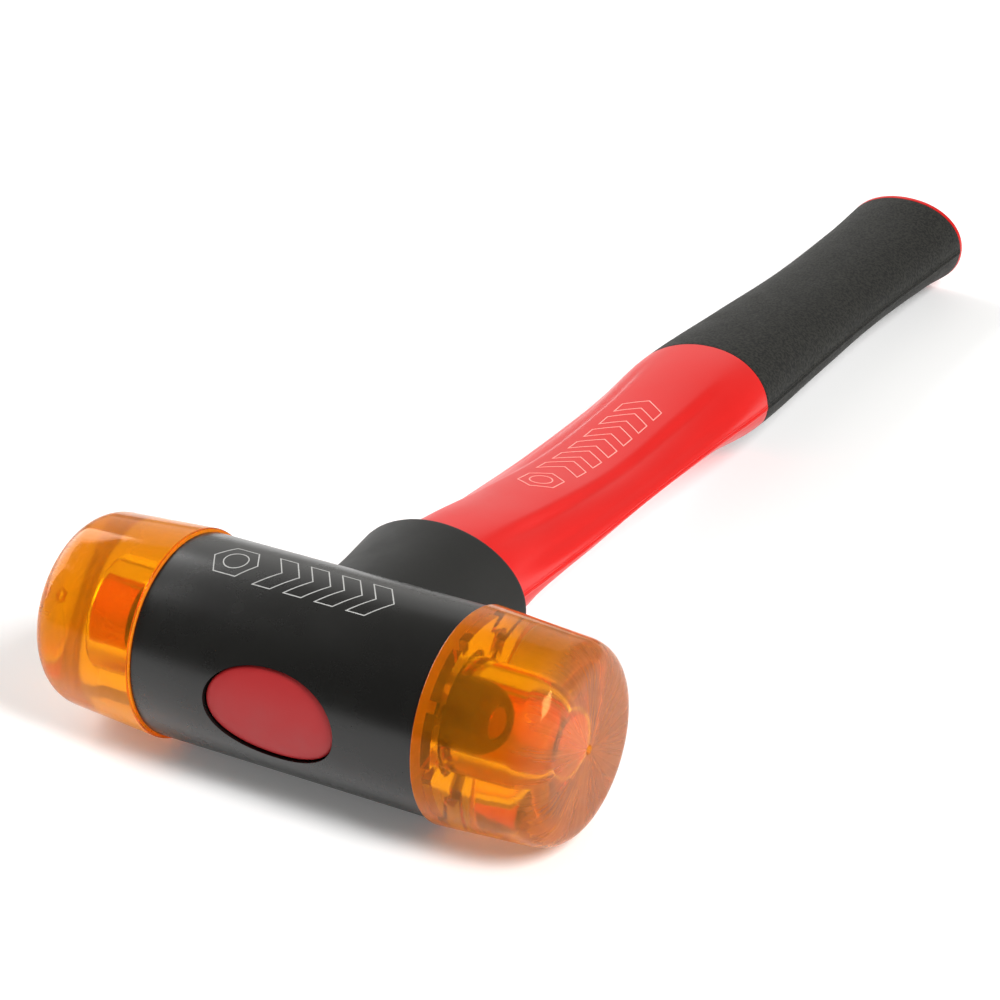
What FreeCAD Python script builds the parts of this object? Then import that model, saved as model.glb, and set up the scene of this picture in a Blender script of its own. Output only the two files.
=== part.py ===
"""Dead blow mallet with screw-on amber faces: one STEP file per physical piece.

Every piece is built in the head's own frame: origin at the centre of the head tube, X along the tube,
+Y from the head to the butt of the handle, Z across. The last step lays the finished tool on a flat
surface, resting on the two face rims and the butt, and puts the origin at the bottom centre of its box.
Sizes are in millimetres.
"""
import FreeCAD, Part
import math
import os

V = FreeCAD.Vector

# ---- head tube: drawn steel tube with an oval eye cut through it from front to back
TUBE_R = 25.0
TUBE_WALL = 2.5
TUBE_HALF = 38.3
EDGE_BREAK = 0.4
EYE_GAP = 0.5            # all round the handle where it passes through the tube wall
EYE_RECESS = 1.4         # the handle's front end lies this far below the tube's surface

# ---- end plug: flanged steel cap pressed into the tube, with the threaded spigot for the face
PLUG_FLANGE = 3.0
SPIGOT_R = 8.6
SPIGOT_LEN = 9.7
SPIGOT_CORNER = 2.0
PLUG_BORE_R = 6.0
PLUG_END_WALL = 2.2
FILL_HOLE_R = 4.0        # hole the shot is poured through, closed by a pressed plug
PRESS_GAP = 0.05         # drawn gap between pressed pieces

# ---- striking face: clear amber moulding
FACE_GAP = 0.1           # between the tube's end and the face's rim
FACE_LEN = 31.2
FACE_RIM_R = 25.9
FACE_END_R = 24.3        # where the taper meets the shoulder round
SHOULDER_R = 7.2
SOCKET_R = 8.7           # running fit on the spigot
SOCKET_DEPTH = 20.0      # the hole goes on past the spigot's end as an air pocket
SOCKET_CORNER = 2.0
CORE_R_IN, CORE_R_OUT = 13.5, 18.1   # ring of shallow arc pockets in the rear face
CORE_DEPTH = 2.4
CORE_COUNT = 8
CORE_SPOKE_DEG = 8.0
CORE_TURN_DEG = 14.0     # from +Y to the middle of the first spoke
WASHER_R_IN, WASHER_R_OUT = 9.6, 12.4
WASHER_T = 0.8
WASHER_GAP = 0.1

# ---- shot chamber on each side of the handle
CUP_BASE_X = 22.6        # outer face of the cup's base, measured from the centre of the head
CUP_WALL = 1.0
SHOT_PITCH = 4.4
SHOT_R = 2.1
SHOT_LAYERS = 2
SHOT_FILL_Z = 4.0        # level that the shot fills its chamber to
SHOT_WALL_GAP = 0.4

# ---- handle: moulded jacket on a glass-fibre core
SECTION_POWER = 2.1      # 2 is an ellipse, more is squarer
SECTION_POINTS = 32
#                  y, half width along X, half height along Z
HANDLE_STATIONS = ((-27.0, 17.4, 11.1), (-2.0, 17.8, 11.5), (24.0, 18.4, 12.6), (54.0, 19.3, 15.4),
                   (89.0, 20.1, 10.9), (124.0, 19.8, 7.4), (158.0, 20.1, 8.9), (193.0, 21.0, 12.2),
                   (234.0, 19.5, 11.9), (276.0, 18.6, 10.4), (318.0, 19.2, 11.7), (338.5, 19.7, 14.2))
HANDLE_END = HANDLE_STATIONS[-1][0]
BUTT_RIM = 1.8           # width of the bare jacket rim behind the grip
BUTT_ROUND = 0.9
CORE_A, CORE_B = 10.5, 4.4
CORE_FROM, CORE_TO = -18.0, 326.0
EPOXY_T = 2.0            # wall of the adhesive sleeve inside the head
EPOXY_HALF = 19.0

# ---- grip: rubber moulded into a recess of the jacket
GRIP_FROM = 193.0        # front edge at the handle's sides
GRIP_CROWN = 4.9         # how far that edge bows back at the top and bottom
GRIP_T = 2.6
GRIP_HALF_WIDTH = 21.0   # handle's half width at the grip's front edge

# ---- collar: rubber bell between the tube and the jacket
#                  y, half width along X, half height along Z
COLLAR_STATIONS = ((10.0, 20.6, 14.6), (24.0, 21.4, 15.4), (38.0, 22.8, 16.5), (51.8, 24.6, 18.1))
COLLAR_EDGE = 1.6
COLLAR_GAP = 0.05

# ---- placing
TILT_STEPS = 4           # rounds of the search for the resting tilt


def ring_section(y, half_x, half_z, power=SECTION_POWER):
    """Closed smooth outline of a rounded section in the plane at y."""
    points = []
    for i in range(SECTION_POINTS):
        t = 2 * math.pi * i / SECTION_POINTS
        c, s = math.cos(t), math.sin(t)
        x = half_x * math.copysign(abs(c) ** (2 / power), c)
        z = half_z * math.copysign(abs(s) ** (2 / power), s)
        points.append(V(x, y, z))
    curve = Part.BSplineCurve()
    curve.interpolate(Points=points, PeriodicFlag=True)
    return Part.Wire([curve.toShape()])


def loft(stations, grow=0.0, power=SECTION_POWER):
    """Solid through a list of (y, half width, half height) sections, each grown outwards by grow."""
    wires = [ring_section(y, a + grow, b + grow, power) for y, a, b in stations]
    return Part.makeLoft(wires, True, False)


def revolve_x(profile):
    """Solid of revolution about X from a closed list of (x, radius) corners."""
    points = [V(x, r, 0) for x, r in profile]
    face = Part.Face(Part.makePolygon(points + points[:1]))
    return face.revolve(V(0, 0, 0), V(1, 0, 0), 360)


def cylinder_x(radius, x_from, x_to):
    """Round bar along X."""
    return Part.makeCylinder(radius, x_to - x_from, V(x_from, 0, 0), V(1, 0, 0))


def ring_x(r_in, r_out, x_from, x_to):
    """Flat ring about X."""
    return cylinder_x(r_out, x_from, x_to).cut(cylinder_x(r_in, x_from - 1, x_to + 1))


def round_edges(solid, radius, wanted):
    """Round the edges of a solid that the test picks."""
    edges = [edge for edge in solid.Edges if wanted(edge)]
    return solid.makeFillet(radius, edges)


def circle_at(x, radius):
    """Test for a full circle about X at a place and radius."""
    def test(edge):
        curve = edge.Curve
        return (isinstance(curve, Part.Circle) and abs(curve.Center.x - x) < 0.01
                and abs(curve.Radius - radius) < 0.01)
    return test


def slab(y_from, y_to):
    """Box that spans the handle between two stations."""
    return Part.makeBox(80, y_to - y_from, 80, V(-40, y_from, -40))


# ---------------------------------------------------------------- handle

def handle_blank():
    """Full outer shape of the handle, from the eye to the butt."""
    blank = loft(HANDLE_STATIONS)
    butt = [edge for edge in blank.Edges
            if min(vertex.Y for vertex in edge.Vertexes) > HANDLE_END - 0.1]
    return blank.makeFillet(BUTT_ROUND, butt)


def make_core():
    """Pultruded glass-fibre bar up the middle of the handle."""
    return loft([(CORE_FROM, CORE_A, CORE_B), (CORE_TO, CORE_A, CORE_B)])


def grip_recess():
    """Space the grip fills: outside the thinned jacket, behind a bowed front edge."""
    bow_r = (GRIP_HALF_WIDTH ** 2 + GRIP_CROWN ** 2) / (2 * GRIP_CROWN)
    front = GRIP_FROM + GRIP_CROWN
    zone = slab(GRIP_FROM - 10, HANDLE_END - BUTT_RIM)
    zone = zone.cut(Part.makeCylinder(bow_r, 80, V(0, front - bow_r, -40)))
    thin = [(y, a, b) for y, a, b in HANDLE_STATIONS if y > 150]
    return zone.cut(loft(thin, -GRIP_T))


def make_jacket(blank, recess, core):
    """Polypropylene jacket: its front end shows in the tube's eye, its rim shows at the butt."""
    eye_end = cylinder_x(TUBE_R - EYE_RECESS, -40, 40)
    body = blank.cut(slab(-60, 0)).fuse(blank.common(slab(-60, 0)).common(eye_end))
    return body.removeSplitter().cut(recess).cut(core)


def make_grip(blank, recess):
    """Rubber sleeve over the rear of the handle."""
    return blank.common(recess)


def make_collar(blank):
    """Rubber bell that seats on the back of the tube and stands proud of the jacket behind it."""
    bell = loft(COLLAR_STATIONS, power=2.0)
    end = COLLAR_STATIONS[-1][0]
    bell = round_edges(bell, COLLAR_EDGE, lambda e: min(v.Y for v in e.Vertexes) > end - 0.1)
    return bell.cut(cylinder_x(TUBE_R + COLLAR_GAP, -60, 60)).cut(blank)


def make_epoxy(blank):
    """Adhesive sleeve that locks the handle inside the head."""
    sleeve = loft(HANDLE_STATIONS, EPOXY_T).common(slab(-EPOXY_HALF, EPOXY_HALF))
    return sleeve.common(cylinder_x(TUBE_R - TUBE_WALL - PRESS_GAP, -60, 60)).cut(blank)


# ---------------------------------------------------------------- head

def make_tube():
    """Head tube with its two oval eyes."""
    tube = ring_x(TUBE_R - TUBE_WALL, TUBE_R, -TUBE_HALF, TUBE_HALF)
    for side in (-TUBE_HALF, TUBE_HALF):
        tube = round_edges(tube, EDGE_BREAK, circle_at(side, TUBE_R))
    return tube.cut(loft(HANDLE_STATIONS, EYE_GAP))


def make_cup():
    """Pressed steel cup that walls one shot chamber off from the handle."""
    outer_r = TUBE_R - TUBE_WALL - PRESS_GAP
    end = TUBE_HALF - PLUG_FLANGE - PRESS_GAP
    cup = cylinder_x(outer_r, CUP_BASE_X, end)
    hollow = cylinder_x(outer_r - CUP_WALL, CUP_BASE_X + CUP_WALL, end + 1)
    return cup.cut(hollow)


def make_plug():
    """End plug: flange in the tube's mouth, hollow spigot that the face screws on to."""
    inner = TUBE_HALF - PLUG_FLANGE
    tip = TUBE_HALF + SPIGOT_LEN
    plug = cylinder_x(TUBE_R - TUBE_WALL - PRESS_GAP, inner, TUBE_HALF)
    spigot = cylinder_x(SPIGOT_R, inner, tip)
    spigot = round_edges(spigot, SPIGOT_CORNER, circle_at(tip, SPIGOT_R))
    plug = plug.fuse(spigot).removeSplitter()
    plug = plug.cut(cylinder_x(PLUG_BORE_R, inner - 1, tip - PLUG_END_WALL))
    return plug.cut(cylinder_x(FILL_HOLE_R, tip - PLUG_END_WALL - 1, tip + 1))


def make_fill_plug():
    """Steel disc pressed into the filling hole."""
    tip = TUBE_HALF + SPIGOT_LEN
    disc = cylinder_x(FILL_HOLE_R - PRESS_GAP, tip - PLUG_END_WALL, tip)
    return disc.makeChamfer(0.3, [e for e in disc.Edges if circle_at(tip, FILL_HOLE_R - PRESS_GAP)(e)])


def shot_layer(x, radius, fill_z):
    """One close-packed layer of balls, up to the fill level, in a round chamber."""
    balls = []
    row_pitch = SHOT_PITCH * math.sqrt(3) / 2
    rows = int(radius / row_pitch) + 1
    for row in range(-rows, rows + 1):
        z = row * row_pitch
        offset = SHOT_PITCH / 2 * (row % 2)
        for column in range(-rows - 1, rows + 2):
            y = column * SHOT_PITCH + offset
            if math.hypot(y, z) + SHOT_R <= radius and z + SHOT_R <= fill_z:
                balls.append(Part.makeSphere(SHOT_R, V(x, y, z)))
    return balls


def make_shot():
    """Steel shot that fills part of one chamber, as separate balls."""
    wide = TUBE_R - TUBE_WALL - PRESS_GAP - CUP_WALL - SHOT_WALL_GAP
    first = CUP_BASE_X + CUP_WALL + 0.1 + SHOT_R
    balls = []
    for layer in range(SHOT_LAYERS):
        balls += shot_layer(first + layer * SHOT_PITCH, wide, SHOT_FILL_Z)
    return Part.makeCompound(balls)


def make_washer():
    """Rubber washer between the plug's flange and the face."""
    start = TUBE_HALF + WASHER_GAP
    return ring_x(WASHER_R_IN, WASHER_R_OUT, start, start + WASHER_T)


def make_face():
    """Amber striking face with its threaded socket and ring of arc pockets."""
    rear = TUBE_HALF + FACE_GAP
    front = TUBE_HALF + FACE_LEN
    slope = (FACE_RIM_R - FACE_END_R) / (FACE_LEN - SHOULDER_R)
    corner_r = FACE_RIM_R - slope * (front - rear)
    body = revolve_x([(rear, 0), (rear, FACE_RIM_R), (front, corner_r), (front, 0)])
    body = round_edges(body, SHOULDER_R, circle_at(front, corner_r))
    body = round_edges(body, EDGE_BREAK, circle_at(rear, FACE_RIM_R))
    socket = cylinder_x(SOCKET_R, rear - 1, rear + SOCKET_DEPTH)
    body = body.cut(round_edges(socket, SOCKET_CORNER, circle_at(rear + SOCKET_DEPTH, SOCKET_R)))
    recess = WASHER_GAP + WASHER_T + WASHER_GAP
    body = body.cut(ring_x(WASHER_R_IN - WASHER_GAP, WASHER_R_OUT + WASHER_GAP, rear - 1, rear + recess))
    step = 360 / CORE_COUNT
    span = step - CORE_SPOKE_DEG
    for i in range(CORE_COUNT):
        profile = [(rear - 1, CORE_R_IN), (rear - 1, CORE_R_OUT),
                   (rear + CORE_DEPTH, CORE_R_OUT), (rear + CORE_DEPTH, CORE_R_IN)]
        points = [V(x, r, 0) for x, r in profile]
        pocket = Part.Face(Part.makePolygon(points + points[:1])).revolve(V(0, 0, 0), V(1, 0, 0), span)
        pocket.rotate(V(0, 0, 0), V(1, 0, 0), CORE_TURN_DEG + CORE_SPOKE_DEG / 2 + i * step)
        body = body.cut(pocket)
    return body


# ---------------------------------------------------------------- placing and writing

def lay_down(shape, tilt, shift_y=0.0, lift=0.0):
    """Turn a piece by the resting tilt about the head's axis, then move it to its place."""
    placed = shape.copy()
    placed.rotate(V(0, 0, 0), V(1, 0, 0), -tilt)
    placed.translate(V(0, shift_y, lift))
    return placed


def resting_tilt(jacket, rest_r):
    """Angle about X, in degrees, at which the butt's rim is as low as the face rims."""
    tilt = math.degrees(rest_r / HANDLE_END) / 2
    for _ in range(TILT_STEPS):
        above = lay_down(jacket, tilt).optimalBoundingBox(False, False).ZMin + rest_r
        tilt += math.degrees(above / HANDLE_END)
    return tilt


def both_sides(name, shape):
    """The piece at the +X end, and the same piece turned half round for the other end."""
    other = shape.copy()
    other.rotate(V(0, 0, 0), V(0, 0, 1), 180)
    return {name + "_right": shape, name + "_left": other}


def build():
    """Every piece by node name, in the head's frame."""
    blank = handle_blank()
    recess = grip_recess()
    core = make_core()
    pieces = {
        "head_tube": make_tube(),
        "eye_epoxy": make_epoxy(blank),
        "handle_core": core,
        "handle_jacket": make_jacket(blank, recess, core),
        "collar": make_collar(blank),
        "grip": make_grip(blank, recess),
    }
    for name, make in (("shot_cup", make_cup), ("end_plug", make_plug), ("fill_plug", make_fill_plug),
                       ("shot", make_shot), ("face_washer", make_washer), ("face", make_face)):
        pieces.update(both_sides(name, make()))
    return pieces


def main():
    """Build, place and export the pieces, and print what the record needs."""
    os.makedirs("parts", exist_ok=True)
    pieces = build()
    rest_r = -pieces["face_right"].optimalBoundingBox(False, False).ZMin
    tilt = resting_tilt(pieces["handle_jacket"], rest_r)
    y_max = lay_down(pieces["handle_jacket"], tilt).optimalBoundingBox(False, False).YMax
    shift_y = (rest_r - y_max) / 2
    for name, shape in pieces.items():
        placed = lay_down(shape, tilt, shift_y, rest_r)
        placed.exportStep(f"parts/{name}.step")
        box = placed.optimalBoundingBox(False, False)
        print(f"{name:16s} solids {len(placed.Solids):3d} valid {placed.isValid()} vol {placed.Volume:10.1f}"
              f"  x {box.XMin:8.2f} {box.XMax:8.2f}  y {box.YMin:8.2f} {box.YMax:8.2f}"
              f"  z {box.ZMin:7.2f} {box.ZMax:7.2f}")
    print(f"tilt {tilt:.4f} deg, head axis at y {shift_y:.3f} z {rest_r:.3f}")


main()
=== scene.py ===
"""Looks of a dead blow mallet: steel tube head, clear amber faces, red and black handle.

Every piece is drawn in the head's own frame, in millimetres: origin at the centre of the head tube, X along
the tube, +Y from the head to the butt, Z across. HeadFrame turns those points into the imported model's frame.
"""

import logging
import math
from dataclasses import dataclass
from enum import Enum
from typing import Callable, Iterable, Sequence

import bmesh
import bpy
from mathutils import Matrix, Vector


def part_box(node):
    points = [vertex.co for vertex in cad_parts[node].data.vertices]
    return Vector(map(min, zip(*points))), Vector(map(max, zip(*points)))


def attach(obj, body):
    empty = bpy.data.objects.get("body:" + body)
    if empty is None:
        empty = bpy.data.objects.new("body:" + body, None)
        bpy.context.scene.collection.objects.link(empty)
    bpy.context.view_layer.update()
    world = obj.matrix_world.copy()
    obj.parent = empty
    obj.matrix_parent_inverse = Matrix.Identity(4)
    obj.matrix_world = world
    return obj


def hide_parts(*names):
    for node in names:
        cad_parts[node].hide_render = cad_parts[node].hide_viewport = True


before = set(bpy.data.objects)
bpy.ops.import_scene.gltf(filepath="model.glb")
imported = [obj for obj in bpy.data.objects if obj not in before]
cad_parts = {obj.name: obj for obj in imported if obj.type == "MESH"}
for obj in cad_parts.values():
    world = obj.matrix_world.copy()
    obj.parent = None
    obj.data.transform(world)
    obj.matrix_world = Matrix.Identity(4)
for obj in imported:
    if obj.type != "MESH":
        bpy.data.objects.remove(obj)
LOG = logging.getLogger("mallet")
MM = 0.001
Pair = tuple[float, float]
Triple = tuple[float, float, float]
Ring = list[Vector]
Tree = bpy.types.NodeTree
Socket = bpy.types.NodeSocket
# gives the point and the outward normal at a place on a surface
Surface = Callable[[float, float], tuple[Vector, Vector]]
# most of a noise texture's values lie between these two
NOISE_LOW, NOISE_HIGH = 0.3, 0.7
# edges that turn by more than this many degrees stay crisp
CRISP_DEG = 35.0


# ------------------------------------------------------------------ colour and nodes

def linear(code: str) -> tuple[float, float, float, float]:
    """Turn an sRGB hex colour into the linear colour that the shaders use.

    Args:
        code: Six hex digits, such as "C81E1E".

    Returns:
        The linear red, green and blue, and 1 for alpha.
    """
    parts = [int(code[i:i + 2], 16) / 255 for i in (0, 2, 4)]
    red, green, blue = [p / 12.92 if p <= 0.04045 else ((p + 0.055) / 1.055) ** 2.4 for p in parts]
    return red, green, blue, 1.0


def add_node(tree: Tree, kind: str, inputs: dict | None = None, **settings: object) -> bpy.types.Node:
    """Add a shader node, set its properties, and fill or link its inputs.

    Args:
        tree: Node tree that gets the node.
        kind: Blender's name of the node's type.
        inputs: Input name or number to a plain value, or to the output socket that feeds it.
        **settings: Properties of the node itself.

    Returns:
        The new node.
    """
    node = tree.nodes.new(kind)
    for name, value in settings.items():
        setattr(node, name, value)
    for name, value in (inputs or {}).items():
        if isinstance(value, bpy.types.NodeSocket):
            tree.links.new(value, node.inputs[name])
        else:
            node.inputs[name].default_value = value
    return node


def per_mm(size: float) -> float:
    """Scale of a pattern laid in metres whose features are this many millimetres apart."""
    return 1.0 / (size * MM)


# ------------------------------------------------------------------ finishes

@dataclass(frozen=True)
class Finish:
    """A material and how its surface was made. Subclasses say what that gives the eye."""

    name: str

    def shade(self, tree: Tree, place: Socket) -> Socket:
        """Build the surface shader and return its output."""
        raise NotImplementedError

    def fill(self, tree: Tree) -> Socket | None:
        """Build what light meets inside the material, where it goes in at all."""
        return None

    def material(self) -> bpy.types.Material:
        """Make the finish's material the first time it is asked for, and reuse it after that.

        Returns:
            The material.
        """
        known = bpy.data.materials.get(self.name)
        if known is not None:
            return known
        made = bpy.data.materials.new(self.name)
        made.use_nodes = True
        tree = made.node_tree
        tree.nodes.clear()
        place = add_node(tree, "ShaderNodeTexCoord").outputs["Object"]
        sockets = {"Surface": self.shade(tree, place)}
        body = self.fill(tree)
        if body is not None:
            sockets["Volume"] = body
        add_node(tree, "ShaderNodeOutputMaterial", sockets)
        return made


@dataclass(frozen=True)
class GrainedFinish(Finish):
    """Opaque surface with mottled colour, uneven gloss and a fine raised grain."""

    dark: str = "202020"
    light: str = "303030"
    rough_low: float = 0.35
    rough_high: float = 0.5
    mottle_mm: float = 12.0
    grain_mm: float = 0.6
    grain_height: float = 0.02
    metallic: float = 0.0
    # how far painted shade darkens the grain's pits and painted light brightens its tops, faint light given
    # off, and stretch of the pattern by axis
    painted_grain_shade: float = 0.0
    glow: float = 0.0
    stretch: Triple = (1.0, 1.0, 1.0)

    def shade(self, tree: Tree, place: Socket) -> Socket:
        """Build the mottle, the grain with painted shade in its pits and painted light on its tops, and the
        shader they feed.

        Args:
            tree: Node tree of the material.
            place: Output that gives each point's place on the piece.

        Returns:
            The shader's output.
        """
        laid = add_node(tree, "ShaderNodeMapping", {"Vector": place, "Scale": self.stretch}).outputs[0]
        mottle = add_node(tree, "ShaderNodeTexNoise",
                          {"Vector": laid, "Scale": per_mm(self.mottle_mm), "Detail": 5.0, "Roughness": 0.6})
        grain = add_node(tree, "ShaderNodeTexNoise",
                         {"Vector": laid, "Scale": per_mm(self.grain_mm), "Detail": 2.0, "Roughness": 0.5})
        # painted shade and light: the grain's pits are darkened and its tops lightened, by the same pattern
        # that raises it
        grain_shade = add_node(tree, "ShaderNodeMapRange",
                         {"Value": grain.outputs[0], "From Min": NOISE_LOW, "From Max": NOISE_HIGH,
                          "To Min": -self.painted_grain_shade, "To Max": self.painted_grain_shade})
        tone = add_node(tree, "ShaderNodeMath", {0: mottle.outputs[0], 1: grain_shade.outputs[0]}, operation="ADD",
                        use_clamp=True)
        colour = add_node(tree, "ShaderNodeMix",
                          {0: tone.outputs[0], 6: linear(self.dark), 7: linear(self.light)}, data_type="RGBA")
        gloss = add_node(tree, "ShaderNodeMapRange",
                         {"Value": mottle.outputs[0], "From Min": NOISE_LOW, "From Max": NOISE_HIGH,
                          "To Min": self.rough_low, "To Max": self.rough_high})
        bump = add_node(tree, "ShaderNodeBump",
                        {"Height": grain.outputs[0], "Strength": 1.0, "Distance": self.grain_height * MM})
        shader = add_node(tree, "ShaderNodeBsdfPrincipled",
                          {"Base Color": colour.outputs[2], "Roughness": gloss.outputs[0],
                           "Metallic": self.metallic, "Emission Strength": self.glow,
                           "Normal": bump.outputs[0]})
        return shader.outputs[0]


@dataclass(frozen=True)
class ClearAmber(Finish):
    """Clear amber plastic, injection moulded: light passes, bends and turns a deeper orange on its way."""

    skin: str = "FFFFFF"
    ior: float = 1.48
    rough: float = 0.05
    sparkle: str = "FFB868"
    # what light meets inside: the colour that gets through and how fast the rest goes
    body: str = "FFFD00"
    strength: float = 120.0
    # the bloom: its colour, how much there is, how uneven that is, and the part of its light that goes through
    milk: str = "FFC850"
    haze: float = 0.3
    unevenness: float = 0.3
    through: float = 0.5
    # sum of two patterns that the bloom follows, from its thinnest to its thickest
    cloud_span: Pair = (0.7, 1.3)
    streak_mm: float = 14.0
    ray_scale: float = 9.0
    # shallow waves, and fine scratches with the range of their pattern and how much rougher they are
    ripple_mm: float = 0.05
    scratch_mm: float = 0.8
    scratch_depth: float = 0.02
    scratch_span: Pair = (0.35, 0.75)
    scratch_rough: float = 3.0
    # extra bloom on the striking end, growing between these distances from the middle of the head
    worn: float = 0.0
    worn_streaks: float = 0.5
    worn_milk: str = "DCA070"
    worn_from_mm: float = 59.0
    worn_to_mm: float = 69.4

    def rays(self, tree: Tree) -> Socket:
        """Build streaks that run out from the gate, the same at every distance from it.

        Args:
            tree: Node tree of the material.

        Returns:
            The streaks' strength.
        """
        spread = add_node(tree, "ShaderNodeTexCoord").outputs["Generated"]
        from_axis = add_node(tree, "ShaderNodeVectorMath", {0: spread, 1: (0.5, 0.5, 0.5)},
                             operation="SUBTRACT")
        flat = add_node(tree, "ShaderNodeVectorMath", {0: from_axis.outputs[0], 1: (0.0, 1.0, 1.0)},
                        operation="MULTIPLY")
        bearing = add_node(tree, "ShaderNodeVectorMath", {0: flat.outputs[0]}, operation="NORMALIZE")
        return add_node(tree, "ShaderNodeTexNoise", {"Vector": bearing.outputs[0], "Scale": self.ray_scale,
                                                     "Detail": 6.0, "Roughness": 0.7}).outputs[0]

    def struck_end(self, tree: Tree, place: Socket) -> Socket:
        """Build a mask that grows from 0 on the side of the face to 1 on its striking end.

        Args:
            tree: Node tree of the material.
            place: Output that gives each point's place on the piece.

        Returns:
            The mask.
        """
        along = add_node(tree, "ShaderNodeSeparateXYZ", {0: place}).outputs[0]
        outwards = add_node(tree, "ShaderNodeMath", {0: along}, operation="ABSOLUTE").outputs[0]
        return add_node(tree, "ShaderNodeMapRange",
                        {"Value": outwards, "From Min": self.worn_from_mm * MM,
                         "From Max": self.worn_to_mm * MM},
                        interpolation_type="SMOOTHSTEP").outputs[0]

    def scratches(self, tree: Tree, place: Socket, flow: Socket) -> tuple[Socket, Socket]:
        """Build fine scratches on shallow waves.

        Args:
            tree: Node tree of the material.
            place: Output that gives each point's place on the piece.
            flow: Pattern of the waves.

        Returns:
            The roughness and the normal.
        """
        scratch = add_node(tree, "ShaderNodeTexNoise",
                           {"Vector": place, "Scale": per_mm(self.scratch_mm), "Detail": 3.0}).outputs[0]
        low, high = self.scratch_span
        gloss = add_node(tree, "ShaderNodeMapRange",
                         {"Value": scratch, "From Min": low, "From Max": high,
                          "To Min": self.rough, "To Max": self.rough * self.scratch_rough}).outputs[0]
        ripple = add_node(tree, "ShaderNodeBump",
                          {"Height": flow, "Strength": 1.0, "Distance": self.ripple_mm * MM}).outputs[0]
        bump = add_node(tree, "ShaderNodeBump",
                        {"Height": scratch, "Strength": 1.0,
                         "Distance": self.rough * self.scratch_depth * MM, "Normal": ripple}).outputs[0]
        return gloss, bump

    def bloom(self, tree: Tree, flow: Socket, end: Socket) -> Socket:
        """Build how much milk covers the clear plastic, more of it on the striking end.

        Args:
            tree: Node tree of the material.
            flow: Pattern of the waves.
            end: Mask of the striking end.

        Returns:
            The amount of milk.
        """
        rays = self.rays(tree)
        cloud = add_node(tree, "ShaderNodeMath", {0: flow, 1: rays}, operation="ADD").outputs[0]
        thin, thick = self.cloud_span
        amount = add_node(tree, "ShaderNodeMapRange",
                          {"Value": cloud, "From Min": thin, "From Max": thick,
                           "To Min": self.haze * (1 - self.unevenness),
                           "To Max": self.haze * (1 + self.unevenness)}).outputs[0]
        streaks = add_node(tree, "ShaderNodeMapRange",
                           {"Value": rays, "From Min": NOISE_LOW, "From Max": NOISE_HIGH,
                            "To Min": self.worn * (1 - self.worn_streaks),
                            "To Max": self.worn * (1 + self.worn_streaks)}).outputs[0]
        return add_node(tree, "ShaderNodeMath", {0: end, 1: streaks, 2: amount},
                        operation="MULTIPLY_ADD", use_clamp=True).outputs[0]

    def shade(self, tree: Tree, place: Socket) -> Socket:
        """Mix clear plastic with a little milky bloom on its skin, streaked outwards from the gate.

        Args:
            tree: Node tree of the material.
            place: Output that gives each point's place on the piece.

        Returns:
            The shader's output.
        """
        end = self.struck_end(tree, place)
        flow = add_node(tree, "ShaderNodeTexNoise", {"Vector": place, "Scale": per_mm(self.streak_mm),
                                                     "Detail": 4.0, "Distortion": 1.2}).outputs[0]
        gloss, bump = self.scratches(tree, place, flow)
        clear = add_node(tree, "ShaderNodeBsdfPrincipled",
                         {"Base Color": linear(self.skin), "Roughness": gloss, "IOR": self.ior,
                          "Specular Tint": linear(self.sparkle), "Transmission Weight": 1.0,
                          "Normal": bump}).outputs[0]
        tone = add_node(tree, "ShaderNodeMix", {0: end, 6: linear(self.milk), 7: linear(self.worn_milk)},
                        data_type="RGBA").outputs[2]
        back = add_node(tree, "ShaderNodeBsdfDiffuse", {"Color": tone, "Normal": bump}).outputs[0]
        onward = add_node(tree, "ShaderNodeBsdfTranslucent", {"Color": tone, "Normal": bump}).outputs[0]
        milky = add_node(tree, "ShaderNodeMixShader", {0: self.through, 1: back, 2: onward}).outputs[0]
        return add_node(tree, "ShaderNodeMixShader",
                        {0: self.bloom(tree, flow, end), 1: clear, 2: milky}).outputs[0]

    def fill(self, tree: Tree) -> Socket | None:
        """Take the blue first and then the green out of the light on its way through."""
        return add_node(tree, "ShaderNodeVolumeAbsorption",
                        {"Color": linear(self.body), "Density": self.strength}).outputs[0]


# Satin black paint sprayed on steel tube: nearly black, a soft broad highlight, faint orange peel.
TUBE_PAINT = GrainedFinish("steel_painted_satin_black", "0B0B0A", "111110", rough_low=0.24, rough_high=0.31,
                           mottle_mm=18.0, grain_mm=1.6, grain_height=0.005)
# Clear amber thermoplastic, injection moulded, its outside dulled by handling: slightly milky, orange inside.
AMBER = ClearAmber("amber_plastic_moulded_clear", skin="FFA412", milk="FFAC20", haze=0.2, rough=0.05,
                   worn=0.16)
# The same plastic inside its socket and pockets, untouched since moulding: clear, so the steel shows through.
AMBER_INSIDE = ClearAmber("amber_plastic_moulded_inside", haze=0.1, rough=0.04)
# The same plastic on the flat ring that seats against the tube, rubbed by it: an even, bright orange frost.
AMBER_SEAT = ClearAmber("amber_plastic_rubbed_seat", milk="FFB830", haze=0.85, rough=0.25)
# Red polypropylene, injection moulded: saturated red with a satin gloss and faint flow mottling.
JACKET_RED = GrainedFinish("polypropylene_moulded_red", "D00E0A", "DA1410", rough_low=0.3, rough_high=0.4,
                           mottle_mm=25.0, grain_mm=0.7, grain_height=0.004)
# Red polypropylene trimmed flush with a blade: duller than the moulded skin, and a darker red as painted shade
# for the end in the eye, which gets less light.
TRIMMED_RED_SHADED = GrainedFinish("polypropylene_trimmed_red_shaded", "A8161A", "B21C20", rough_low=0.5, rough_high=0.62,
                            mottle_mm=6.0, grain_mm=0.5, grain_height=0.012)
# Black thermoplastic rubber, moulded in a plain tool: matte, slightly grey, very fine grain.
COLLAR_RUBBER = GrainedFinish("rubber_moulded_matte_black", "121210", "181815", rough_low=0.62,
                              rough_high=0.75, mottle_mm=14.0, grain_mm=0.5, grain_height=0.012)
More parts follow.
